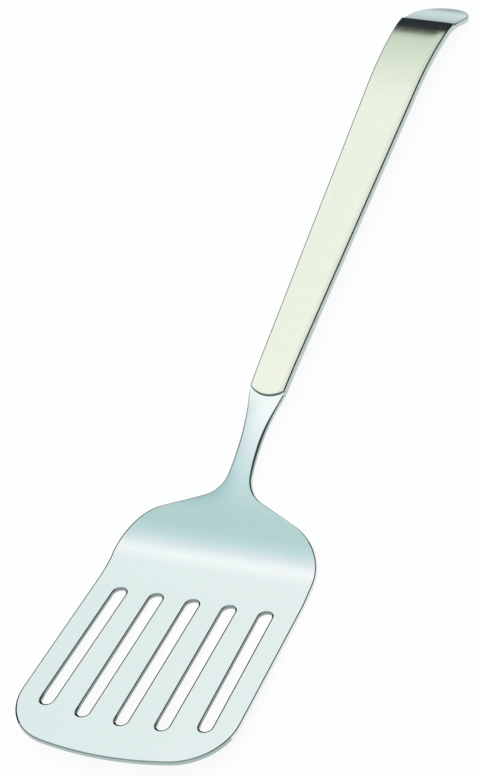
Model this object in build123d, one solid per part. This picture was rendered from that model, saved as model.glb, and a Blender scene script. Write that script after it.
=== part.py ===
from build123d import *

import os
from math import asin, atan, atan2, cos, hypot, pi, radians, sin, sqrt, tan

# Slotted kitchen turner in stainless sheet, laid down on a table as it rests by itself:
# on the heel under its blade and on the turned-down end of its handle.
# X runs across the blade, Y from the blade's tip towards the handle's end, Z is up.
# The origin is under the middle of the whole turner, on the table.
#
# The turner is designed in the blade's own frame, where the blade lies level and its
# front face is at zero height. A station is a distance measured along the front face of
# the sheet, from the line through the upper ends of the slots. It is negative towards
# the tip and positive towards the handle.

# Sheet metal
sheet_thickness = 2.0
plate_thickness = 0.9
edge_radius = 0.4

# Side shape of the front face, from the slots' upper ends to the handle's end
heel_setback = 2.4
heel_radius = 52.5
heel_angle = 30.9
shoulder_run = 5.2
neck_bend_radius = 235.0
handle_angle = 14.8
handle_run = 124.5
crest_radius = 115.0
crest_angle = -0.1
lip_radius = 23.7
lip_angle = -25.7
lip_run = 17.4

# Outline of the blade
blade_reach = 82.3
blade_width = 91.2
heel_width = 83.0
side_bend_station = 11.9
side_blend_radius = 60.0
tip_radius = 132.0
tip_corner_radius = 23.0
shoulder_corner_station = 30.5
shoulder_slope = 23.0
shoulder_corner_radius = 23.5

# Outline of the neck
neck_width = 8.8
neck_station = 62.4
neck_flat = 2.0
neck_radius = 92.0
neck_root_radius = 11.4
flare_angle = 12.0
flare_run = 0.5
flare_radius = 34.0

# Outline of the handle, which widens evenly from the neck's flare to the lip
lip_width = 22.4
lip_round_length = 11.7

# Drain slots, fanned out from a point far up the handle and measured with their
# rounded edges
slot_count = 5
slot_width = 6.5
slot_pitch = 15.0
slot_fan_reach = 750.0
slot_foot_radius = 142.0
tip_web = 15.3

# Grip plate on the front of the handle
plate_foot_station = 84.9
plate_foot_radius = 10.2
plate_top_station = 263.0

# Weld that joins the blade's tongue to the handle bar, under the grip plate
weld_station = 120.0
weld_face_width = 2.6
weld_root_width = 0.6

# Spot welds that hold the grip plate down
nugget_count = 6
nugget_diameter = 5.0
nugget_height = 0.8
nugget_first_station = 107.0
nugget_last_station = 224.0

# Overrun of the bodies that cut or limit others, and how near an edge or corner lies to
# the place where it is looked for
overrun = 40.0
pick_reach = 0.1

slot_length = blade_reach - tip_web

# Stations where one stretch of the outline ends and the next begins. Each lies where
# the outline runs straight along the sheet, so the stretches meet without a step.
heel_end_station = heel_setback + heel_radius * radians(heel_angle)
shoulder_end_station = heel_end_station + shoulder_run
neck_end_station = shoulder_end_station + neck_bend_radius * radians(heel_angle - handle_angle)
handle_end_station = neck_end_station + handle_run
crest_end_station = handle_end_station + crest_radius * radians(handle_angle - crest_angle)
lip_start_station = crest_end_station + lip_radius * radians(crest_angle - lip_angle)
lip_end_station = lip_start_station + lip_run
lip_round_station = lip_end_station - lip_round_length
lip_joint_station = (lip_start_station + lip_round_station) / 2
shoulder_corner_angle = radians(90 - shoulder_slope) / 2
shoulder_round_station = shoulder_corner_station - shoulder_corner_radius * tan(shoulder_corner_angle)
heel_joint_station = shoulder_round_station - edge_radius

# Runs of the front face, each with the station where it ends and the angle it ends at
path_runs = [
    (heel_setback, 0),
    (heel_end_station, heel_angle),
    (shoulder_end_station, heel_angle),
    (neck_end_station, handle_angle),
    (handle_end_station, handle_angle),
    (crest_end_station, crest_angle),
    (lip_start_station, lip_angle),
    (lip_end_station, lip_angle),
]


def place_at(station):
    """Y, Z and slope in radians of the front face at a station."""
    y, z, start, angle = -blade_reach, 0, -blade_reach, 0
    for end, end_angle in path_runs:
        slope = radians(angle)
        travelled = min(station, end) - start
        if end_angle == angle:
            y += travelled * cos(slope)
            z += travelled * sin(slope)
        else:
            radius = (end - start) / radians(end_angle - angle)
            new_slope = slope + travelled / radius
            y += radius * (sin(new_slope) - sin(slope))
            z -= radius * (cos(new_slope) - cos(slope))
            slope = new_slope
        if station <= end:
            break
        start, angle = end, end_angle
    return y, z, slope


def point_at(station, height=0):
    """Point at a station, at a height above the front face."""
    y, z, slope = place_at(station)
    return Vector(0, y - height * sin(slope), z + height * cos(slope))


def face_line(first, last, height):
    """Edges that follow the front face from one station to another, at a height."""
    edges = []
    start = first
    for end, _ in path_runs:
        if end <= start:
            continue
        stop = min(end, last)
        halfway = (start + stop) / 2
        low, middle, high = (point_at(s, height) for s in (start, halfway, stop))
        if place_at(halfway)[2] == place_at(stop)[2]:
            edges.append(Line(low, high).edge())
        else:
            edges.append(ThreePointArc(low, middle, high).edge())
        start = stop
        if start >= last:
            break
    return edges


def strip(first, last, bottom, top):
    """Strip of metal between two stations and two heights, wider than the turner."""
    edges = face_line(first, last, top) + face_line(first, last, bottom)
    edges.append(Line(point_at(first, bottom), point_at(first, top)).edge())
    edges.append(Line(point_at(last, bottom), point_at(last, top)).edge())
    side = Face(Wire(edges))
    return extrude(side, amount=blade_width, dir=(1, 0, 0), both=True)


def tangent_plane(station):
    """Plane on the front face at a station, whose Y coordinate is the station there."""
    y, z, slope = place_at(station)
    along = Vector(0, cos(slope), sin(slope))
    origin = Vector(0, y, z) - along * station
    return Plane(origin=origin, x_dir=(1, 0, 0), z_dir=(0, -sin(slope), cos(slope)))


def punch(plane, outline):
    """Body of an outline drawn on a plane, long enough to pass through the sheet."""
    return extrude(plane * outline, amount=overrun, both=True)


def height_of(point):
    """Height of a point above the front face."""
    station = point.Y
    # Each pass brings the station nearer to the one that lies straight below the point
    for _ in path_runs:
        local = tangent_plane(station).to_local_coords(point)
        station = local.Y
    return local.Z


def round_rims(body, *faces):
    """Round the edges that run along the outline, on the faces at the given heights."""
    rims = []
    for edge in body.edges():
        start, end = edge.position_at(0), edge.position_at(1)
        across = edge.geom_type == GeomType.LINE and abs(start.Y - end.Y) < pick_reach
        height = height_of(edge.position_at(1 / 2))
        if not across and min(abs(height - face) for face in faces) < pick_reach:
            rims.append(edge)
    return fillet(rims, edge_radius)


def symmetric_face(right_side, radii):
    """Face from the points of its right side, with rounded corners at some of them."""
    left_side = [(-x, y) for x, y in reversed(right_side)]
    face = make_face(Polyline(*right_side, *left_side, close=True))
    for point, radius in radii:
        for x in (point[0], -point[0]):
            corner = [v for v in face.vertices() if hypot(v.X - x, v.Y - point[1]) < pick_reach]
            face = fillet(corner, radius)
    return face


def blade_outline():
    """Lower outline: rounded tip and tapering sides, up to the heel."""
    bend = (heel_width / 2, side_bend_station)
    taper = (blade_width / 2 - bend[0]) / (side_bend_station + blade_reach)
    low = -blade_reach - overrun
    # The blend at the bend ends before the next stretch of the outline begins
    blend_room = place_at(heel_joint_station)[0] - edge_radius - side_bend_station
    blend_radius = min(side_blend_radius, blend_room / tan(atan(taper) / 2))
    sides = symmetric_face(
        [(bend[0] + (bend[1] - low) * taper, low), bend, (bend[0], heel_joint_station + overrun)],
        [(bend, blend_radius)],
    )
    tip_disc = Pos(0, tip_radius - blade_reach) * Circle(tip_radius)
    face = sides & tip_disc
    corners = face.vertices().sort_by(Axis.Y)[:2]
    return fillet(corners, tip_corner_radius)


def shoulder_outline():
    """Middle outline: from the heel over the shoulder corners into the neck."""
    heel_half = heel_width / 2
    neck_half = neck_width / 2
    neck_low = neck_station - neck_flat / 2
    slope = tan(radians(shoulder_slope))
    corner = (heel_half, shoulder_corner_station)
    # The neck's lower arc starts level with the neck's flat and opens towards the blade
    # until it meets the line of the shoulder.
    centre = (neck_half + neck_radius, neck_low)
    rise = corner[1] + heel_half * slope - centre[1] - centre[0] * slope
    reach = 1 + slope * slope
    shift = sqrt(neck_radius * neck_radius * reach - rise * rise)
    root_x = centre[0] + (-rise * -slope - shift) / reach
    root = (root_x, corner[1] + (heel_half - root_x) * slope)
    start_angle = pi + asin((centre[1] - root[1]) / neck_radius)
    middle_angle = (pi + start_angle) / 2
    middle = (centre[0] + neck_radius * cos(middle_angle), centre[1] + neck_radius * sin(middle_angle))
    right = [
        Line((heel_half, heel_joint_station - overrun), corner),
        Line(corner, root),
        ThreePointArc(root, middle, (neck_half, neck_low)),
        Line((neck_half, neck_low), (neck_half, neck_station)),
    ]
    edges = [curve.edge() for curve in right]
    edges += [edge.mirror(Plane.YZ) for edge in edges]
    edges.append(Line((-neck_half, neck_station), (neck_half, neck_station)).edge())
    low = heel_joint_station - overrun
    edges.append(Line((-heel_half, low), (heel_half, low)).edge())
    face = Face(Wire(edges))
    for point, radius in ((corner, shoulder_corner_radius), (root, neck_root_radius)):
        near = [v for v in face.vertices() if hypot(abs(v.X) - point[0], v.Y - point[1]) < pick_reach]
        face = fillet(near, radius)
    return face


def handle_reach(station):
    """Distance along the handle's own plane at which a station lies."""
    return tangent_plane(handle_end_station).to_local_coords(point_at(station)).Y


def flare_points():
    """Points of the flare's two arcs, on the right side, from the neck up to the taper."""
    flare = radians(flare_angle)
    low = (neck_width / 2, neck_station + neck_flat / 2)
    lip = (lip_width / 2, handle_reach(lip_start_station))
    low_centre = (low[0] + neck_radius, low[1])
    low_end = (low_centre[0] - neck_radius * cos(flare), low[1] + neck_radius * sin(flare))
    low_middle = (low_centre[0] - neck_radius * cos(flare / 2), low[1] + neck_radius * sin(flare / 2))
    high = (low_end[0] + flare_run * sin(flare), low_end[1] + flare_run * cos(flare))
    centre = (high[0] - flare_radius * cos(flare), high[1] + flare_radius * sin(flare))
    # The upper arc ends where it points at the lip's corner
    across, along = lip[0] - centre[0], lip[1] - centre[1]
    taper = atan2(across, along) - asin(flare_radius / hypot(across, along))
    middle, taper_start = (
        (centre[0] + flare_radius * cos(turn), centre[1] - flare_radius * sin(turn))
        for turn in ((flare + taper) / 2, taper)
    )
    return low, low_middle, low_end, high, middle, taper_start, lip


def handle_outline():
    """Upper outline: from the neck's narrowest place through the flare to the lip."""
    low, low_middle, low_end, high, middle, taper_start, lip = flare_points()
    bottom = (low[0], neck_station - overrun)
    top = (lip[0], lip[1] + overrun)
    right = [
        Line(bottom, low),
        ThreePointArc(low, low_middle, low_end),
        Line(low_end, high),
        ThreePointArc(high, middle, taper_start),
        Line(taper_start, lip),
        Line(lip, top),
    ]
    edges = [curve.edge() for curve in right]
    edges += [edge.mirror(Plane.YZ) for edge in edges]
    edges.append(Line((-top[0], top[1]), top).edge())
    edges.append(Line((-bottom[0], bottom[1]), bottom).edge())
    return Face(Wire(edges))


def lip_outline():
    """Outline of the handle's end: straight sides and a half oval."""
    half = lip_width / 2
    base = make_face(
        Polyline(
            (half, lip_joint_station),
            (half, lip_round_station),
            (-half, lip_round_station),
            (-half, lip_joint_station),
            close=True,
        )
    )
    oval = Pos(0, lip_round_station) * Ellipse(half, lip_round_length)
    return base + oval


def slot_places():
    """Middle, length and lean in degrees of each drain slot, in the blade's plane."""
    places = []
    for index in range(slot_count):
        step = index - (slot_count - 1) / 2
        top_x = step * slot_pitch
        lean = atan2(top_x, slot_fan_reach)
        foot_x = top_x
        # Two passes settle the foot, because its place along the arc follows from its X
        for _ in range(2):
            drop = sqrt(slot_foot_radius * slot_foot_radius - foot_x * foot_x)
            foot_y = slot_foot_radius - slot_length - drop
            foot_x = top_x - foot_y * tan(lean)
        length = hypot(foot_x - top_x, foot_y)
        places.append(((top_x + foot_x) / 2, foot_y / 2, length, lean * 180 / pi))
    return places


def weld_wedge():
    """V-shaped groove of the weld, across the whole strip."""
    face_half = weld_face_width / 2
    root_half = weld_root_width / 2
    corners = [
        point_at(weld_station - face_half),
        point_at(weld_station + face_half),
        point_at(weld_station + root_half, -sheet_thickness),
        point_at(weld_station - root_half, -sheet_thickness),
    ]
    side = Face(Wire(Polyline(*corners, close=True).edges()))
    return extrude(side, amount=blade_width, dir=(1, 0, 0), both=True)


def nugget_stations():
    """Stations of the spot welds, evenly spaced along the flat of the handle."""
    step = (nugget_last_station - nugget_first_station) / (nugget_count - 1)
    return [nugget_first_station + index * step for index in range(nugget_count)]


def make_nuggets():
    """Spot weld nuggets, half in the grip plate and half in the metal behind it."""
    plane = tangent_plane(handle_end_station)
    disc = Circle(nugget_diameter / 2)
    nuggets = []
    for station in nugget_stations():
        nugget = extrude(plane * (Pos(0, station) * disc), amount=nugget_height / 2, both=True)
        nuggets.append(nugget.solid())
    return nuggets


def make_blade():
    """Blade with its shoulder, neck and the tongue that lies under the grip plate."""
    lower = strip(-blade_reach, heel_joint_station, -sheet_thickness, 0)
    lower &= punch(Plane.XY, blade_outline())
    for x, y, length, lean in slot_places():
        cut = SlotOverall(length - 2 * edge_radius, slot_width - 2 * edge_radius)
        slot = Pos(x, y) * Rot(0, 0, lean + 90) * cut
        lower -= punch(Plane.XY, slot)
    middle = strip(heel_joint_station, neck_station, -sheet_thickness, 0)
    middle &= punch(tangent_plane(shoulder_end_station), shoulder_outline())
    tongue = strip(neck_station, weld_station, -sheet_thickness, 0)
    tongue &= punch(tangent_plane(handle_end_station), handle_outline())
    tongue -= weld_wedge()
    return round_rims(lower + middle + tongue, -sheet_thickness, 0)


def make_bar():
    """Bar at the back of the handle, with its turned-down rounded end."""
    bar = strip(weld_station, lip_joint_station, -sheet_thickness, 0)
    bar &= punch(tangent_plane(handle_end_station), handle_outline())
    bar -= weld_wedge()
    lip = strip(lip_joint_station, lip_end_station, -sheet_thickness, 0)
    lip &= punch(tangent_plane(lip_end_station), lip_outline())
    return round_rims(bar + lip, -sheet_thickness, 0)


def make_tongue_weld():
    """Filled groove between the blade's tongue and the handle bar."""
    weld = weld_wedge() & punch(tangent_plane(handle_end_station), handle_outline())
    return round_rims(weld, -sheet_thickness, 0)


def make_grip_plate():
    """Thin plate on the front of the handle, with a curved lower end."""
    plate = strip(neck_station, plate_top_station, 0, plate_thickness)
    plate &= punch(tangent_plane(handle_end_station), handle_outline())
    foot = Pos(0, plate_foot_station + plate_foot_radius) * Circle(plate_foot_radius)
    above = Pos(0, plate_foot_station + plate_foot_radius) * Rectangle(
        blade_width, lip_end_station, align=(Align.CENTER, Align.MIN)
    )
    plate &= punch(tangent_plane(handle_end_station), foot + above)
    return round_rims(plate, plate_thickness)


def rest_angle():
    """Angle by which the turner tips back from its level blade until the lip touches."""
    outer_radius = heel_radius + sheet_thickness
    end = point_at(lip_end_station - edge_radius, edge_radius - sheet_thickness)
    along, rise = end.Y - heel_setback, end.Z - heel_radius
    return atan2(rise, along) + asin((outer_radius - edge_radius) / hypot(along, rise))


nuggets = make_nuggets()
blade = make_blade()
bar = make_bar()
plate = make_grip_plate()
for nugget in nuggets:
    blade -= nugget
    bar -= nugget
    plate -= nugget

pieces = {
    "blade": blade.solids(),
    "handle_bar": bar.solids(),
    "grip_plate": plate.solids(),
    "tongue_weld": make_tongue_weld().solids(),
    "plate_spot_welds": nuggets,
}

# Lay the turner down on its heel and its lip, and put the origin under its middle
tip_back = Rot(-rest_angle() * 180 / pi, 0, 0)
laid = {name: [tip_back * solid for solid in solids] for name, solids in pieces.items()}
box = Compound([solid for solids in laid.values() for solid in solids]).bounding_box()
to_origin = Pos(0, -(box.min.Y + box.max.Y) / 2, -box.min.Z)

os.makedirs("parts", exist_ok=True)
for name, solids in laid.items():
    placed = [to_origin * solid for solid in solids]
    shape = placed[0] if len(placed) == 1 else Compound(placed)
    shape.label = name
    export_step(shape, f"parts/{name}.step")
print("rest angle", round(rest_angle() * 180 / pi, 3))
print("size", [round(v, 2) for v in (box.size.X, box.size.Y, box.size.Z)])
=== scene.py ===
from cmath import exp, phase
from math import asin, atan2, ceil, cos, hypot, pi, radians, sin, sqrt, tan

import bpy
import numpy as np
from mathutils import Matrix, Quaternion, Vector
from mathutils.geometry import delaunay_2d_cdt


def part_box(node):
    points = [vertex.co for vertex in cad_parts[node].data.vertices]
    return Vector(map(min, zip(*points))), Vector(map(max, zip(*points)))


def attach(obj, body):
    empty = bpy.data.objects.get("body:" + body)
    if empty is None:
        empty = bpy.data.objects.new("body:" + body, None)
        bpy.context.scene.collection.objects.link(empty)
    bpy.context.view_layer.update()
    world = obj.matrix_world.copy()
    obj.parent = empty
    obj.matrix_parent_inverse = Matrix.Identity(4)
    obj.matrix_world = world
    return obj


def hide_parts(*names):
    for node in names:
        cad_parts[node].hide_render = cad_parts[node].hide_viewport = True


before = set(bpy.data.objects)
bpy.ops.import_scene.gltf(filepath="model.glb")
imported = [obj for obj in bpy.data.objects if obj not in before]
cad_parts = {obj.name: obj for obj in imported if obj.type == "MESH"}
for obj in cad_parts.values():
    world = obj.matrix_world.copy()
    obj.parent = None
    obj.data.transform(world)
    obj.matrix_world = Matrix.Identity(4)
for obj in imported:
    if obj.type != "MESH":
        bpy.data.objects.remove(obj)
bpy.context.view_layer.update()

# The turner lies at rest on a table, on the heel under its blade and on the turned-down
# end of its handle. Lengths are in metres, and angles in degrees until they are used.
#
# Its sheets are drawn flat and then bent. A flat point is a complex number: its real part
# runs across the blade, and its imaginary part is the station, the distance measured
# along the front face from the slots' upper ends, negative towards the tip.

# Sheet metal
sheet_thickness = 0.0020
plate_thickness = 0.0009
edge_radius = 0.0004
far_edge_radius = 0.00070
slot_edge_radius = 0.00045
slot_far_edge_radius = 0.00078
slot_foot_edge_radius = 0.00115
slot_back_radius = 0.00080
neck_edge_radius = 0.00095
seam_radius = 0.00008

# Side shape of the front face
heel_setback = 0.0024
heel_radius = 0.0525
heel_angle = 30.9
shoulder_run = 0.0052
neck_bend_radius = 0.235
handle_angle = 14.8
handle_run = 0.1245
crest_radius = 0.115
crest_angle = -0.1
lip_radius = 0.0237
lip_angle = -25.7
lip_run = 0.0174

# Outline of the blade
blade_reach = 0.0823
blade_width = 0.0912
heel_width = 0.083
side_bend_station = 0.0119
side_blend_radius = 0.060
tip_radius = 0.132
tip_corner_radius = 0.023
right_wall_turn = 4
shoulder_corner_station = 0.0305
shoulder_slope = 23.0
shoulder_corner_radius = 0.0235

# Outline of the neck and the handle
neck_width = 0.0088
neck_station = 0.0624
neck_flat = 0.0020
neck_radius = 0.092
neck_root_radius = 0.0114
flare_angle = 12.0
flare_run = 0.0005
flare_radius = 0.034
neck_crown_radius = 0.070
neck_shade_turn = 1.6
neck_edge_station = 0.066
neck_fade_station = 0.078
neck_edge_end = 0.086
lip_width = 0.0224
lip_round_length = 0.0117

# Drain slots, measured with their rounded edges
slot_count = 5
slot_width = 0.0065
slot_pitch = 0.015
slot_fan_reach = 0.750
slot_foot_radius = 0.142
tip_web = 0.0153

# Grip plate, and the weld under it
plate_foot_station = 0.0849
plate_foot_radius = 0.0102
plate_top_station = 0.263
plate_corner_radius = 0.0006
plate_edge_radius = 0.00060
plate_fall_width = 0.0042
plate_fall_angle = 9.2
weld_station = 0.120
weld_face_width = 0.0026
weld_root_width = 0.0006
weld_lean_reach = 0.004

# Fineness of the meshes: spacing of points along the outlines and across the faces, the
# spacing under which two points are one, the number of points on an oval, of steps round
# an edge and of lines inset from the plate's outline
outline_step = 0.0006
face_step = 0.0016
smallest_gap = outline_step / 100
oval_points = 40
rim_steps = 6
plate_inset_lines = 7

# How gradually a near edge turns into a far one round a corner
rim_ease = 0.5

# Studio: elevations at which the dark room round the turner ends and the bright ceiling
# is full, light left in its right back corner, and size and whiteness of the floor
dark_elevation = 24
bright_elevation = 28
corner_light = 0.10
floor_reach = 6.0
floor_whiteness = 0.9

# Card past the handle's end, its height over the floor, and the flag behind it
card_left = -0.20
card_right = 0.10
card_reach = 0.055
card_level = 0.0001
flag_height = 0.067

# Lamp: the way to it, its strength, and how wide it looks from the turner
lamp_direction = Vector((0.35, -0.25, 1.0))
lamp_strength = 1.6
lamp_spread = 25

# Camera, as it sees the turner in the photograph
camera_place = Vector((1.01292, -1.08854, 1.78492))
camera_aim = Vector((-0.01466, -0.00993, 0.010))
camera_roll = 27.752
camera_lens = 288.75
sensor_size = 36.0

slot_length = blade_reach - tip_web

# Stations where one bend or straight of the front face ends and the next begins
heel_end_station = heel_setback + heel_radius * radians(heel_angle)
shoulder_end_station = heel_end_station + shoulder_run
neck_end_station = shoulder_end_station + neck_bend_radius * radians(heel_angle - handle_angle)
handle_end_station = neck_end_station + handle_run
crest_end_station = handle_end_station + crest_radius * radians(handle_angle - crest_angle)
lip_start_station = crest_end_station + lip_radius * radians(crest_angle - lip_angle)
lip_end_station = lip_start_station + lip_run
path_runs = [
    (heel_setback, 0),
    (heel_end_station, heel_angle),
    (shoulder_end_station, heel_angle),
    (neck_end_station, handle_angle),
    (handle_end_station, handle_angle),
    (crest_end_station, crest_angle),
    (lip_start_station, lip_angle),
    (lip_end_station, lip_angle),
]


def side_place(station):
    """Place along and up, and slope in radians, of the front face while the blade is level."""
    y, z, start, angle = -blade_reach, 0, -blade_reach, 0
    for end, end_angle in path_runs:
        slope = radians(angle)
        travelled = min(station, end) - start
        if end_angle == angle:
            y += travelled * cos(slope)
            z += travelled * sin(slope)
        else:
            radius = (end - start) / radians(end_angle - angle)
            new_slope = slope + travelled / radius
            y += radius * (sin(new_slope) - sin(slope))
            z -= radius * (cos(new_slope) - cos(slope))
            slope = new_slope
        if station <= end:
            break
        start, angle = end, end_angle
    return y, z, slope


def place_above(plane_station, station):
    """Place on the flat plane that touches one station, above another station."""
    plane_y, plane_z, slope = side_place(plane_station)
    y, z, _slope = side_place(station)
    return plane_station + (y - plane_y) * cos(slope) + (z - plane_z) * sin(slope)


def station_below(plane_station, along):
    """Station whose point on the front face lies below a place on a flat tangent plane."""
    station = along
    for _ in path_runs:
        station += along - place_above(plane_station, station)
    return station


def rest_turn():
    """Angle in radians by which the turner tips back until its lip touches the table."""
    y, z, slope = side_place(lip_end_station - edge_radius)
    height = edge_radius - sheet_thickness
    along = y - height * sin(slope) - heel_setback
    rise = z + height * cos(slope) - heel_radius
    outer_radius = heel_radius + sheet_thickness
    return atan2(rise, along) + asin((outer_radius - edge_radius) / hypot(along, rise))


def turned(y, z):
    """Place along and up after the turner has tipped back."""
    turn = -rest_angle
    return y * cos(turn) - z * sin(turn), y * sin(turn) + z * cos(turn)


rest_angle = rest_turn()
tip_y = turned(edge_radius - blade_reach, edge_radius - sheet_thickness)[0] - edge_radius
heel_z = turned(heel_setback, heel_radius)[1] - heel_radius - sheet_thickness
shift_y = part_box("blade")[0].y - tip_y
shift_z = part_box("blade")[0].z - heel_z


def bent(x, station, height):
    """Point of the resting turner at a station, at a height above the front face."""
    y, z, slope = side_place(station)
    y, z = turned(y - height * sin(slope), z + height * cos(slope))
    return x, y + shift_y, z + shift_z


def bent_normal(across, along, up, station):
    """Direction in the resting turner of one given across, along and up from the sheet."""
    slope = side_place(station)[2] - rest_angle
    return across, along * cos(slope) - up * sin(slope), along * sin(slope) + up * cos(slope)


# Flat outlines, drawn from points, straight runs and arcs

def unit(value):
    return value / abs(value)


def arc(centre, start, end):
    """Points of the arc from start to end round a centre, the short way."""
    turn = phase((end - centre) / (start - centre))
    count = max(2, ceil(abs(turn) * abs(start - centre) / outline_step))
    return [centre + (start - centre) * exp(1j * turn * i / count) for i in range(count + 1)]


def corner_arc(point, arrive, leave, radius):
    """Arc that rounds the corner at a point between two directions."""
    turn = phase(leave / arrive)
    setback = radius * tan(abs(turn) / 2)
    side = 1j if turn > 0 else -1j
    start = point - arrive * setback
    return arc(start + side * arrive * radius, start, point + leave * setback)


def touching(point, direction, offset, centre, reach, sign):
    """Place at an offset to the left of a line and at a reach from a centre."""
    side = ((point - centre) / direction).imag + offset
    return centre + (sign * sqrt(reach * reach - side * side) + 1j * side) * direction


def closed(right_side):
    """Whole outline from its right side, with even spacing on the straight runs."""
    ends = right_side + [complex(-p.real, p.imag) for p in reversed(right_side)]
    points = []
    for start, end in zip(ends, ends[1:] + ends[:1]):
        if abs(end - start) < smallest_gap:
            continue
        count = ceil(abs(end - start) / outline_step)
        points += [start + (end - start) * i / count for i in range(count)]
    return points


def on_sheet(plane_station, points):
    """Points drawn on a tangent plane, moved to their stations on the sheet."""
    return [complex(p.real, station_below(plane_station, p.imag)) for p in points]


def blade_side():
    """Right side of the blade's flat part, from the middle of its tip."""
    bend = complex(heel_width / 2, side_bend_station)
    upward = unit(bend - complex(blade_width / 2, -blade_reach))
    tip_centre = 1j * (tip_radius - blade_reach)
    corner = touching(
        bend, upward, tip_corner_radius, tip_centre, tip_radius - tip_corner_radius, -1
    )
    corner_start = corner + unit(corner - tip_centre) * tip_corner_radius
    points = arc(tip_centre, tip_centre - 1j * tip_radius, corner_start)
    points += arc(corner, corner_start, corner - 1j * upward * tip_corner_radius)
    points += corner_arc(bend, upward, 1j, side_blend_radius)
    return on_sheet(0, points)


def shoulder_side():
    """Right side of the shoulder, from its corner into the neck."""
    corner = complex(heel_width / 2, shoulder_corner_station)
    inward = -exp(-1j * radians(shoulder_slope))
    neck = complex(neck_width / 2, neck_station - neck_flat / 2)
    neck_centre = neck + neck_radius
    root = touching(
        corner, inward, -neck_root_radius, neck_centre, neck_radius - neck_root_radius, 1
    )
    root_end = root + unit(root - neck_centre) * neck_root_radius
    points = corner_arc(corner, 1j, inward, shoulder_corner_radius)
    points += arc(root, root + 1j * inward * neck_root_radius, root_end)
    points += arc(neck_centre, root_end, neck)
    return on_sheet(shoulder_end_station, points)


def handle_side(top):
    """Right side of the handle, from the neck through the flare to the foot of the lip."""
    flare = radians(flare_angle)
    neck = complex(neck_width / 2, neck_station + neck_flat / 2)
    lip = complex(lip_width / 2, place_above(handle_end_station, lip_start_station))
    low_end = neck + neck_radius - neck_radius * exp(-1j * flare)
    high = low_end + flare_run * 1j * exp(-1j * flare)
    centre = high - flare_radius * exp(-1j * flare)
    out = lip - centre
    taper = pi / 2 - phase(out) - asin(flare_radius / abs(out))
    points = arc(neck + neck_radius, neck, low_end)
    points += arc(centre, high, centre + flare_radius * exp(-1j * taper))
    points.append(lip)
    return [p for p in on_sheet(handle_end_station, spaced(points)) if p.imag < top]


def spaced(points):
    """Open line through points, with even spacing on its long straight runs."""
    line = []
    for start, end in zip(points, points[1:]):
        count = ceil(abs(end - start) / outline_step) or 1
        line += [start + (end - start) * i / count for i in range(count)]
    return line + points[-1:]


def half_width_at(line, station):
    """Half width of a side line at a station."""
    stations = [p.imag for p in line]
    return float(np.interp(station, stations, [p.real for p in line]))


def foot_station(x):
    """Station of the arc along the slots' feet at a distance from the middle."""
    return slot_foot_radius - slot_length - sqrt(slot_foot_radius * slot_foot_radius - x * x)


def slot_outlines():
    """Outline of each drain slot, walked with the metal on the left."""
    outlines = []
    radius = slot_width / 2
    for index in range(slot_count):
        top_x = (index - (slot_count - 1) / 2) * slot_pitch
        lean = atan2(top_x, slot_fan_reach)
        foot_x = top_x
        for _ in range(2):
            foot_y = foot_station(foot_x)
            foot_x = top_x - foot_y * tan(lean)
        top, foot = complex(top_x, 0), complex(foot_x, foot_y)
        up = unit(top - foot)
        top_centre, foot_centre = top - up * radius, foot + up * radius
        points = arc(top_centre, top_centre + 1j * up * radius, top)
        points += arc(top_centre, top, top_centre - 1j * up * radius)
        points += arc(foot_centre, foot_centre - 1j * up * radius, foot)
        points += arc(foot_centre, foot, foot_centre + 1j * up * radius)
        line = spaced(points + points[:1])[:-1]
        pairs = zip(line, line[1:] + line[:1])
        outlines.append([p for p, after in pairs if abs(after - p) > smallest_gap])
    return outlines


# Sheets: a flat outline with holes gets rounded edges and is bent to the side shape.
# Its faces, its rounded rims and its walls each have their own finish. The walls of its holes, the
# rims that face away from the viewer and the wall of the tip get darker steels: painted shade.
FACE, RIM, WALL, HOLE_WALL, FAR_RIM, TIP_WALL = range(6)

def left_normals(points):
    """Direction to the left of the line at each point of a closed outline, for a mitre."""
    normals = []
    for before, here, after in zip(points[-1:] + points[:-1], points, points[1:] + points[:1]):
        arrive, leave = unit(here - before), unit(after - here)
        normal = unit(arrive + leave) * 1j
        normals.append(normal / (normal / (1j * leave)).real)
    return normals


def inside_metal(places, loops):
    """Which of the places lie inside the outline and outside its holes."""
    inside = np.zeros(len(places), bool)
    x, y = places.real, places.imag
    for loop in loops:
        start = np.array(loop)
        end = np.roll(start, -1)
        for a, b in zip(start, end):
            if a.imag == b.imag:
                continue
            crosses = (y < a.imag) != (y < b.imag)
            crossing = a.real + (y - a.imag) * (b.real - a.real) / (b.imag - a.imag)
            inside ^= crosses & (x < crossing)
    return inside


def face_points(loops, insets):
    """Points spread over a flat face, also on lines inset from its outline."""
    outer = np.array(loops[0])
    inward = np.array(left_normals(loops[0]))
    lines = []
    for inset in insets:
        line = outer + inward * inset
        reach = np.array([np.abs(outer - place).min() for place in line])
        lines += list(line[inside_metal(line, loops) & (reach > inset * 0.9)])
    rows = np.arange(outer.imag.min() + face_step, outer.imag.max(), face_step)
    columns = np.arange(outer.real.min() + face_step, outer.real.max(), face_step)
    places = (columns[None, :] + 1j * rows[:, None]).ravel()
    places = places[inside_metal(places, loops)]
    edge = np.concatenate([np.array(loop) for loop in loops] + [np.array(lines)])
    near = np.array([np.abs(edge - place).min() for place in places])
    return lines + list(places[near > face_step / 2])


def own_finish(kind, point, outward):
    """Finish of a rim or wall on a sheet whose rims and walls look the same all round."""
    return min(kind, WALL)


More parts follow.
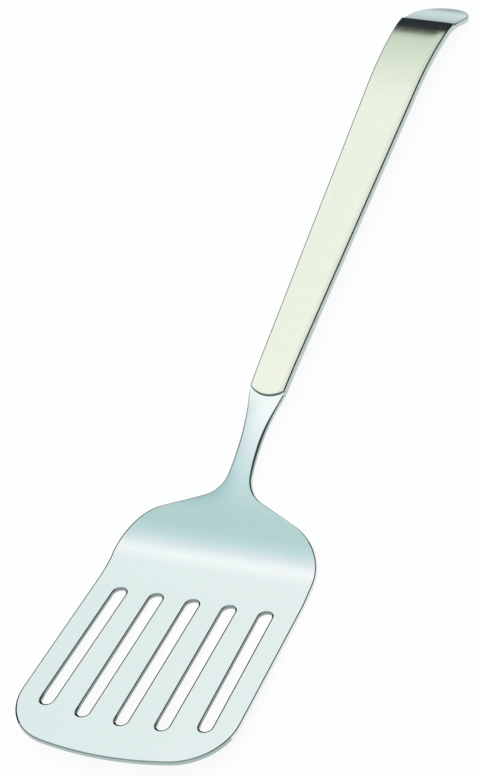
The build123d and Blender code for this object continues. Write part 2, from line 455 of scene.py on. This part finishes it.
def sheet(
    name,
    finish,
    loops,
    bottom,
    top,
    bottom_radius,
    top_radius,
    lean=None,
    crown=None,
    finish_and_shade_at=own_finish,
    wall_steps=0,
    insets=(),
):
    """Sheet metal piece from flat outlines, the holes walked with the metal on the left.

    The outer outline is drawn at the wall, and a hole's where its rounding meets the face.
    The wall's finish reaches some steps into the rims. Faces that aren't flat get points
    on insets from the outline.
    """
    points, normals, faces, finishes = [], [], [], []
    rings = []
    quarter = [pi / 2 * i / rim_steps for i in range(rim_steps + 1)]
    for loop in loops:
        outer = loop is loops[0]
        ring = []
        inward = left_normals(loop)
        turns = [(-1, bottom, turn) for turn in reversed(quarter)]
        turns += [(1, top, turn) for turn in quarter]
        for side, level, turn in turns:
            ring.append(len(points))
            for point, left in zip(loop, inward):
                radius = (top_radius if side > 0 else bottom_radius)(point, -left)
                wall = point if outer else point - left * top_radius(point, -left)
                place = wall + left * radius * (1 - cos(turn))
                points.append((place, level - side * radius * (1 - sin(turn))))
                out = -unit(left) * cos(turn)
                normals.append((out.real, out.imag, side * sin(turn)))
        count = len(loop)
        for step, (low, high) in enumerate(zip(ring, ring[1:])):
            for i in range(count):
                j = (i + 1) % count
                faces.append((low + i, low + j, high + j, high + i))
                steep = abs(step - rim_steps) <= wall_steps
                kind = (WALL if outer else HOLE_WALL) if steep else RIM
                finishes.append(finish_and_shade_at(kind, loop[i], -inward[i]))
        rings.append((ring[0], ring[-1], count))
    for side in (0, 1):
        starts = [(ring[side], ring[2]) for ring in rings]
        inner = [[points[start + i][0] for i in range(count)] for start, count in starts]
        names = [start + i for start, count in starts for i in range(count)]
        extra = face_points(inner, insets)
        flat = [p for loop in inner for p in loop] + extra
        names += list(range(len(points), len(points) + len(extra)))
        edges, first = [], 0
        for loop in inner:
            edges += [(first + i, first + (i + 1) % len(loop)) for i in range(len(loop))]
            first += len(loop)
        level = top if side else bottom
        points += [(p, level) for p in extra]
        normals += [(0, 0, 1 if side else -1)] * len(extra)
        made = delaunay_2d_cdt([Vector((p.real, p.imag)) for p in flat], edges, [], 0, 1e-9)
        origin = [ids[0] for ids in made[3]]
        middles = np.array([sum(complex(*made[0][v]) for v in tri) / len(tri) for tri in made[2]])
        for tri, keep in zip(made[2], inside_metal(middles, inner)):
            if keep:
                corner = [names[origin[v]] for v in tri]
                faces.append(tuple(corner if side else reversed(corner)))
                finishes.append(FACE)
    places, facings = [], []
    for (p, height), (across, along, up) in zip(points, normals):
        station = p.imag + (lean(p.imag, height) if lean else 0)
        if crown and height > bottom:
            share = (height - bottom) / (top - bottom)
            drop, sideways, lengthways = crown(p)
            height -= drop * share
            across, along, up = (
                across + up * sideways * share,
                along + up * lengthways * share,
                up - (across * sideways + along * lengthways) * share,
            )
        places.append(bent(p.real, station, height))
        facings.append(Vector(bent_normal(across, along, up, station)).normalized())
    mesh = bpy.data.meshes.new(name)
    for material in finish:
        mesh.materials.append(material)
    mesh.from_pydata(places, [], faces)
    mesh.polygons.foreach_set("use_smooth", [True] * len(mesh.polygons))
    mesh.polygons.foreach_set("material_index", finishes)
    mesh.normals_split_custom_set_from_vertices(facings)
    mesh.validate()
    piece = bpy.data.objects.new(name, mesh)
    bpy.context.scene.collection.objects.link(piece)
    return piece


def faces_away(outward):
    """Whether an edge faces the back left corner of the studio, away from the camera."""
    return outward.imag > outward.real


def weld_side(sign):
    """Lean of a cut end that follows the weld's groove, towards the weld at the back."""
    slant = (weld_face_width - weld_root_width) / 2 / sheet_thickness
    edge = weld_station - sign * weld_face_width / 2

    def lean(station, height):
        nearness = 1 - abs(edge - station) / weld_lean_reach
        return -sign * height * slant * min(max(nearness, 0), 1)

    return lean


def eased(value, low, high):
    """Smooth rise from zero at a low value to one at a high one."""
    place = min(max((value - low) / (high - low), 0), 1)
    return place * place * (3 - 2 * place)


def neck_crown(point):
    """Drop of the neck's gently rounded front face, and how it leans sideways and lengthways."""
    share = eased(point.imag, shoulder_end_station, neck_station - neck_root_radius)
    share *= 1 - eased(point.imag, neck_fade_station, neck_edge_end)
    drop = share * point.real ** 2 / neck_crown_radius / 2
    return drop, share * point.real / neck_crown_radius, share * radians(neck_shade_turn)


def blade_finish_and_shade(kind, point, outward):
    """Finish of the blade's edges: painted shade on far rims and the tip wall, painted highlight
    on the right wall and shoulder.
    """
    if kind == RIM and faces_away(outward):
        if point.real > 0 and point.imag > heel_setback:
            return FACE
        return kind if point.imag > shoulder_end_station else FAR_RIM
    if kind == WALL and point.imag <= shoulder_end_station:
        return FACE if outward.real > -right_wall_turn * outward.imag else TIP_WALL
    return kind


def make_blade(finish):
    """Blade, shoulder, neck and tongue in one sheet."""
    top = weld_station - weld_face_width / 2
    handle = handle_side(top - outline_step)
    side = blade_side() + shoulder_side() + handle
    side.append(complex(half_width_at(handle_side(lip_start_station), top), top))

    def in_slots(point):
        along = -slot_length - outline_step < point.imag <= 0
        return along and abs(point.real) < slot_pitch * slot_count / 2

    def back_radius(point, outward):
        if in_slots(point):
            return slot_back_radius
        return min(front_radius(point, outward), edge_radius)

    def front_radius(point, outward):
        away = eased(outward.imag - outward.real, -rim_ease, rim_ease)
        if point.imag > top - edge_radius:
            return seam_radius
        if in_slots(point):
            above_foot = point.imag - foot_station(point.real)
            nearness = min(max(1 - above_foot / slot_width, 0), 1)
            far_radius = slot_edge_radius + (slot_far_edge_radius - slot_edge_radius) * away
            foot_radius = slot_edge_radius + (slot_foot_edge_radius - slot_edge_radius) * nearness
            return max(far_radius, foot_radius)
        if point.imag <= shoulder_end_station:
            past = eased(point.imag, heel_end_station - slot_width, shoulder_end_station)
            return edge_radius + (far_edge_radius - edge_radius) * away * (1 - past)
        if point.imag > neck_edge_end:
            return seam_radius
        share = eased(point.imag, shoulder_end_station, neck_edge_station)
        share *= 1 - eased(point.imag, neck_edge_station, neck_edge_end)
        return edge_radius + (neck_edge_radius - edge_radius) * share

    loops = [closed(side)] + slot_outlines()
    return sheet(
        "blade_sheet",
        finish,
        loops,
        -sheet_thickness,
        0,
        back_radius,
        front_radius,
        weld_side(1),
        neck_crown,
        blade_finish_and_shade,
    )


def make_bar(finish):
    """Back bar of the handle with its rounded, turned-down end."""
    low = weld_station + weld_face_width / 2
    handle = [p for p in handle_side(lip_start_station) if p.imag > low + outline_step]
    start = complex(half_width_at(handle_side(lip_start_station), low), low)
    base = lip_end_station - lip_round_length
    oval = [
        complex(lip_width / 2 * cos(turn), base + lip_round_length * sin(turn))
        for turn in np.linspace(0, pi / 2, oval_points)
    ]
    side = [start] + handle + [complex(lip_width / 2, lip_start_station)] + oval

    def back_radius(point, outward):
        return seam_radius if point.imag < low + edge_radius else edge_radius

    def front_radius(point, outward):
        return seam_radius if point.imag < plate_top_station else edge_radius

    # Far rims of the turned-down end get near-black steel: painted shade of the dark room they
    # reflect
    def bar_finish_and_shade(kind, point, outward):
        away = kind == RIM and point.imag > plate_top_station and faces_away(outward)
        return FAR_RIM if away else kind

    return sheet(
        "handle_bar_sheet",
        finish,
        [closed(side)],
        -sheet_thickness,
        0,
        back_radius,
        front_radius,
        weld_side(-1),
        finish_and_shade_at=bar_finish_and_shade,
    )


def make_plate(finish):
    """Satin plate on the front of the handle, with a curved foot."""
    handle = handle_side(plate_top_station)
    centre = 1j * (plate_foot_station + plate_foot_radius)
    foot = on_sheet(
        handle_end_station,
        [
            centre - 1j * plate_foot_radius * exp(1j * turn)
            for turn in np.linspace(0, pi / 3, oval_points)
        ],
    )
    foot = [p for p in foot if p.real < half_width_at(handle, p.imag)]
    handle = [p for p in handle if p.imag > foot[-1].imag + outline_step / 2]
    corner = complex(lip_width / 2, plate_top_station)
    handle = [p for p in handle if p.imag < plate_top_station - 2 * plate_corner_radius]
    side = foot + handle + corner_arc(corner, 1j, -1 + 0j, plate_corner_radius)
    whole = handle_side(lip_start_station)

    def crown(point):
        """Drop and sideways lean of the face where it falls off towards its right edge."""
        past = max(point.real - half_width_at(whole, point.imag) + plate_fall_width, 0)
        lean = radians(plate_fall_angle) * past / plate_fall_width
        return lean * past / 2, lean, 0

    def plate_finish_and_shade(kind, point, outward):
        """Finish of the plate's edges: painted shade, dark steel on its side rims and only on the
        low part of its foot's edge, a shadow gap.
        """
        if outward.imag < -abs(outward.real):
            return {RIM: FACE, WALL: RIM}.get(kind, kind)
        return kind

    return sheet(
        "grip_plate_sheet",
        finish,
        [closed(side)],
        0,
        plate_thickness,
        lambda point, outward: seam_radius,
        lambda point, outward: plate_edge_radius,
        crown=crown,
        finish_and_shade_at=plate_finish_and_shade,
        wall_steps=rim_steps // 2,
        insets=[outline_step * (line + 1) for line in range(plate_inset_lines)],
    )


# Materials

class Nodes:
    """Node tree of a material or world, with a short way to add and link nodes."""

    def __init__(self, owner):
        owner.use_nodes = True
        self.tree = owner.node_tree
        self.tree.nodes.clear()

    def add(self, kind, **values):
        """New node; a value names an attribute or an input, and a socket is linked."""
        node = self.tree.nodes.new(kind)
        for name, value in values.items():
            if hasattr(node, name):
                setattr(node, name, value)
            else:
                self.feed(node.inputs[name.replace("_", " ")], value)
        return node

    def math(self, operation, *values):
        """Result of a calculation with numbers and sockets."""
        node = self.add("ShaderNodeMath", operation=operation)
        for socket, value in zip(node.inputs, values):
            self.feed(socket, value)
        return node.outputs[0]

    def slide(self, value, low, high, shape="SMOOTHSTEP"):
        """Zero below a low value, one above a high one, and a rise between."""
        node = self.add("ShaderNodeMapRange", From_Min=low, From_Max=high)
        node.interpolation_type = shape
        self.feed(node.inputs["Value"], value)
        return node.outputs["Result"]

    def mix(self, share, first, second):
        """Colour between two others."""
        node = self.add("ShaderNodeMix", data_type="RGBA")
        for index, value in ((0, share), (6, first), (7, second)):
            self.feed(node.inputs[index], value)
        return node.outputs[2]

    def feed(self, socket, value):
        """Link a socket, or set a plain value."""
        if isinstance(value, bpy.types.NodeSocket):
            self.tree.links.new(value, socket)
        else:
            socket.default_value = value

    def ramp(self, value, stops):
        """Colour ramp over a value, with stops of place and colour."""
        node = self.add("ShaderNodeValToRGB")
        self.tree.links.new(value, node.inputs[0])
        elements = node.color_ramp.elements
        while len(elements) < len(stops):
            elements.new(1)
        for element, (place, colour) in zip(elements, stops):
            element.position = place
            element.color = (*colour, 1)
        return node


def steel(name, colour, roughness, grain, wave_height=0.00001, bend=None, edge_tint=(1, 1, 1)):
    """Stainless steel with a fine grain.

    The grain gives its fineness, its stretch along the turner and its strength. A bend
    gives where along the turner the roughness changes and the colour turns to a painted shade
    colour, and how much of its roughness is left. The edge tint colours what is seen at a shallow
    angle.
    """
    fineness, stretch, strength = grain
    material = bpy.data.materials.new(name)
    nodes = Nodes(material)
    place = nodes.add("ShaderNodeTexCoord").outputs["Object"]
    stretched = nodes.add("ShaderNodeMapping", Vector=place, Scale=(1, 1 / stretch, 1))
    noise = nodes.add(
        "ShaderNodeTexNoise", Vector=stretched.outputs["Vector"], Scale=fineness, Detail=4.0
    )
    gloss = nodes.add(
        "ShaderNodeMapRange",
        Value=noise.outputs["Fac"],
        To_Min=roughness * (1 - strength),
        To_Max=roughness * (1 + strength),
    ).outputs["Result"]
    low = [c * (1 - strength / 6) for c in colour]
    high = [min(c * (1 + strength / 6), 1) for c in colour]
    tone = nodes.ramp(noise.outputs["Fac"], [(0.3, low), (0.7, high)]).outputs["Color"]
    # Past a bend the colour is mixed towards a painted shade colour
    if bend:
        start, end, bend_shade_colour, smooth = bend
        along = nodes.add("ShaderNodeSeparateXYZ", Vector=place).outputs["Y"]
        past = nodes.slide(along, start, end)
        tone = nodes.mix(past, tone, (*bend_shade_colour, 1))
        gloss = nodes.math("MULTIPLY", gloss, nodes.math("MULTIPLY_ADD", past, smooth - 1, 1))
    wave = nodes.add("ShaderNodeTexNoise", Vector=place, Scale=60.0, Detail=2.0)
    bump = nodes.add("ShaderNodeBump", Height=wave.outputs["Fac"], Distance=wave_height)
    shader = nodes.add(
        "ShaderNodeBsdfPrincipled",
        Base_Color=tone,
        Metallic=1.0,
        Roughness=gloss,
        Specular_Tint=(*edge_tint, 1),
        Normal=bump.outputs["Normal"],
    )
    nodes.add("ShaderNodeOutputMaterial", Surface=shader.outputs["BSDF"])
    return material


def dress(piece, material):
    piece.data.materials.clear()
    piece.data.materials.append(material)


def along_at(station):
    """Place along the resting turner of a station on the front face."""
    return bent(0, station, 0)[1]


polished = steel("polished_steel", (0.84, 0.87, 0.87), 0.10, (900, 1, 0.06))
# Rims: darker steel, partly edge wear and partly painted shade of the dark room the rims reflect
rim_wear_and_shade_steel = steel("rim_wear_and_shade_steel", (0.40, 0.45, 0.45), 0.15, (900, 1, 0.2))
wall_steel = steel("wall_steel", (0.54, 0.62, 0.61), 0.25, (900, 1, 0.3))
# Satin grip; towards the crest its colour darkens to a painted shade of the dark room it reflects
satin = steel(
    "satin_steel",
    (0.985, 0.94, 0.81),
    0.24,
    (1100, 3, 0.34),
    bend=(
        along_at(neck_end_station + handle_run * 0.9),
        along_at(crest_end_station),
        (0.66, 0.70, 0.56),
        0.65,
    ),
)
# Plate's edges: dark steel, painted shade of the dark room they reflect and of the shadow gap at
# the foot
plate_edge_painted_shade = steel("plate_edge_painted_shade_steel", (0.22, 0.26, 0.25), 0.15, (900, 1, 0.2))
# Walls of the holes: darker steel, painted shade of the shadowed floor under the blade they
# reflect
shaded_slot_wall = steel("slot_wall_painted_shade_steel", (0.28, 0.32, 0.31), 0.25, (900, 1, 0.3))
# Wall of the tip and the blade's other left-facing walls: darker steel, painted shade of the
# shaded floor they reflect
shaded_tip_wall = steel("tip_wall_painted_shade_steel", (0.42, 0.52, 0.50), 0.25, (900, 1, 0.3))
# Far rims: near-black steel, dark also at a shallow angle, painted shade of the dark room they
# reflect
far_rim_painted_shade = steel(
    "far_rim_painted_shade_steel", (0.03, 0.035, 0.035), 0.15, (900, 1, 0.2), edge_tint=(0.02, 0.025, 0.025)
)
blade_steels = (polished, rim_wear_and_shade_steel, wall_steel, shaded_slot_wall, far_rim_painted_shade, shaded_tip_wall)
weld_metal = steel("weld_metal", (0.78, 0.80, 0.80), 0.2, (1500, 1, 0.3))

for name, make, slot, finish in (
    ("blade", make_blade, "polished_steel", blade_steels),
    ("handle_bar", make_bar, "polished_steel", blade_steels),
    ("grip_plate", make_plate, "satin_steel", (satin, plate_edge_painted_shade, wall_steel)),
):
    piece = make(finish)
    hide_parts(name)
    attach(piece, "root")
dress(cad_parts["tongue_weld"], wall_steel)
dress(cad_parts["plate_spot_welds"], weld_metal)


# Studio

def add_mesh(name, points, faces):
    """Mesh object from points and faces."""
    mesh = bpy.data.meshes.new(name)
    mesh.from_pydata(points, [], faces)
    piece = bpy.data.objects.new(name, mesh)
    bpy.context.scene.collection.objects.link(piece)
    return piece


def make_floor():
    """Wide pale floor under the turner, whose shadow shows only faintly."""
    reach = floor_reach
    corners = [(-reach, -reach, 0), (reach, -reach, 0), (reach, reach, 0), (-reach, reach, 0)]
    floor = add_mesh("studio_floor", corners, [(0, 1, 2, 3)])
    material = bpy.data.materials.new("studio_floor")
    nodes = Nodes(material)
    lit = nodes.add("ShaderNodeBsdfDiffuse", Color=(0.96, 0.95, 0.95, 1))
    white = nodes.add("ShaderNodeEmission", Color=(1, 1, 1, 1), Strength=1.0)
    path = nodes.add("ShaderNodeLightPath").outputs
    seen = nodes.math("MAXIMUM", path["Is Camera Ray"], path["Is Glossy Ray"])
    seen = nodes.math("MAXIMUM", seen, path["Is Transmission Ray"])
    share = nodes.math("MULTIPLY", seen, floor_whiteness)
    mixed = nodes.add("ShaderNodeMixShader", Fac=share)
    nodes.tree.links.new(lit.outputs["BSDF"], mixed.inputs[1])
    nodes.tree.links.new(white.outputs["Emission"], mixed.inputs[2])
    nodes.add("ShaderNodeOutputMaterial", Surface=mixed.outputs["Shader"])
    dress(floor, material)


def make_card(name, corners):
    """Card that only shows in the metal's reflections, and the nodes of its material."""
    card = add_mesh(name, corners, [(0, 1, 2, 3)])
    card.visible_camera = False
    card.visible_shadow = False
    card.visible_diffuse = False
    material = bpy.data.materials.new(name)
    dress(card, material)
    return Nodes(material)


def make_cards():
    """Grey card on the floor past the handle's end, with a low black flag behind it: painted
    reflections in the turned-down end and on its crest.
    """
    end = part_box("handle_bar")[1].y
    left, right, back = card_left, card_right, end + card_reach
    level = card_level
    nodes = make_card(
        "studio_card",
        [(left, end, level), (right, end, level), (right, back, level), (left, back, level)],
    )
    place = nodes.add("ShaderNodeTexCoord").outputs["Object"]
    along = nodes.add("ShaderNodeSeparateXYZ", Vector=place).outputs["Y"]
    share = nodes.add("ShaderNodeMapRange", Value=along, From_Min=end, From_Max=back)
    tone = nodes.ramp(
        share.outputs["Result"],
        [
            (0.08, (0.44, 0.46, 0.45)),
            (0.10, (0.55, 0.58, 0.57)),
            (0.115, (0.61, 0.68, 0.66)),
            (0.14, (0.74, 0.82, 0.81)),
            (0.175, (0.80, 0.86, 0.86)),
            (0.21, (0.785, 0.815, 0.83)),
            (0.25, (0.695, 0.73, 0.74)),
            (0.44, (0.60, 0.635, 0.63)),
            (0.70, (0.61, 0.65, 0.65)),
        ],
    )
    matt = nodes.add("ShaderNodeBsdfDiffuse", Color=tone.outputs["Color"])
    nodes.add("ShaderNodeOutputMaterial", Surface=matt.outputs["BSDF"])
    nodes = make_card(
        "studio_flag",
        [(left, back, 0), (right, back, 0), (right, back, flag_height), (left, back, flag_height)],
    )
    black = nodes.add("ShaderNodeBsdfDiffuse", Color=(0.05, 0.054, 0.072, 1))
    nodes.add("ShaderNodeOutputMaterial", Surface=black.outputs["BSDF"])


def spread_out(*stops):
    """Stops of a ramp for values that run from minus one to one."""
    return [((value + 1) / 2, colour) for value, colour in stops]


def make_dome():
    """Studio round the turner: a bright ceiling over a dark surround."""
    world = bpy.data.worlds.new("studio")
    bpy.context.scene.world = world
    nodes = Nodes(world)
    direction = nodes.add("ShaderNodeTexCoord").outputs["Generated"]
    parts = nodes.add("ShaderNodeSeparateXYZ", Vector=direction).outputs
    # The ceiling's colour from the front of the room to the back
    ceiling = nodes.ramp(
        nodes.slide(parts["Y"], -1, 1, "LINEAR"),
        spread_out(
            (-0.06, (0.55, 0.74, 0.725)),
            (0.08, (0.64, 0.82, 0.83)),
            (0.14, (0.75, 0.88, 0.895)),
            (0.21, (0.87, 0.94, 0.975)),
            (0.27, (1.00, 1.05, 1.05)),
            (0.34, (1.09, 1.10, 1.10)),
            (0.40, (1.00, 1.04, 1.04)),
            (0.47, (0.92, 1.00, 0.985)),
        ),
    )
    # It is dimmer on the left
    left = nodes.ramp(
        nodes.slide(parts["X"], -1, 1, "LINEAR"),
        spread_out(
            (-0.72, (0.70, 0.78, 0.78)),
            (-0.62, (0.62, 0.72, 0.72)),
            (-0.57, (0.66, 0.76, 0.76)),
            (-0.50, (0.86, 0.92, 0.92)),
            (-0.44, (1.00, 1.00, 1.00)),
            (-0.37, (1.03, 1.02, 1.02)),
        ),
    )
    low, high = sin(radians(dark_elevation)), sin(radians(bright_elevation))
    above = nodes.slide(parts["Z"], low, high)
    # The back right corner is dark, and bluish where it begins
    right = nodes.slide(parts["X"], -0.36, 0.05)
    behind = nodes.slide(parts["Y"], -0.10, 0.15)
    corner = nodes.ramp(
        nodes.math("MULTIPLY", right, behind),
        [
            (0.00, (1.00, 1.00, 1.00)),
            (0.28, (0.775, 0.84, 0.85)),
            (1.00, (corner_light, corner_light, corner_light)),
        ],
    )
    shade = nodes.mix(1.0, ceiling.outputs["Color"], left.outputs["Color"])
    shade.node.blend_type = "MULTIPLY"
    shade = nodes.mix(1.0, shade, corner.outputs["Color"])
    shade.node.blend_type = "MULTIPLY"
    room = nodes.mix(above, (0.02, 0.024, 0.024, 1), shade)
    view = nodes.add("ShaderNodeLightPath").outputs["Is Camera Ray"]
    background = nodes.add("ShaderNodeBackground", Color=nodes.mix(view, room, (1, 1, 1, 1)))
    nodes.add("ShaderNodeOutputWorld", Surface=background.outputs["Background"])


def make_lamp():
    """Broad soft lamp high on the camera's side."""
    light = bpy.data.lights.new("key_lamp", "SUN")
    light.energy = lamp_strength
    light.angle = radians(lamp_spread)
    lamp = bpy.data.objects.new("key_lamp", light)
    lamp.visible_glossy = False
    lamp.rotation_euler = lamp_direction.to_track_quat("Z", "Y").to_euler()
    bpy.context.scene.collection.objects.link(lamp)


def make_camera():
    """Camera at the photograph's viewpoint, rolled so that the turner leans."""
    data = bpy.data.cameras.new("camera")
    data.lens = camera_lens
    data.sensor_width = sensor_size
    data.clip_end = 100
    camera = bpy.data.objects.new("camera", data)
    aim = (camera_aim - camera_place).to_track_quat("-Z", "Y")
    roll = Quaternion((0, 0, 1), -radians(camera_roll))
    camera.matrix_world = Matrix.Translation(camera_place) @ (aim @ roll).to_matrix().to_4x4()
    bpy.context.scene.collection.objects.link(camera)
    bpy.context.scene.camera = camera


make_floor()
make_cards()
make_dome()
make_lamp()
make_camera()
bpy.context.scene.view_settings.view_transform = "Standard"
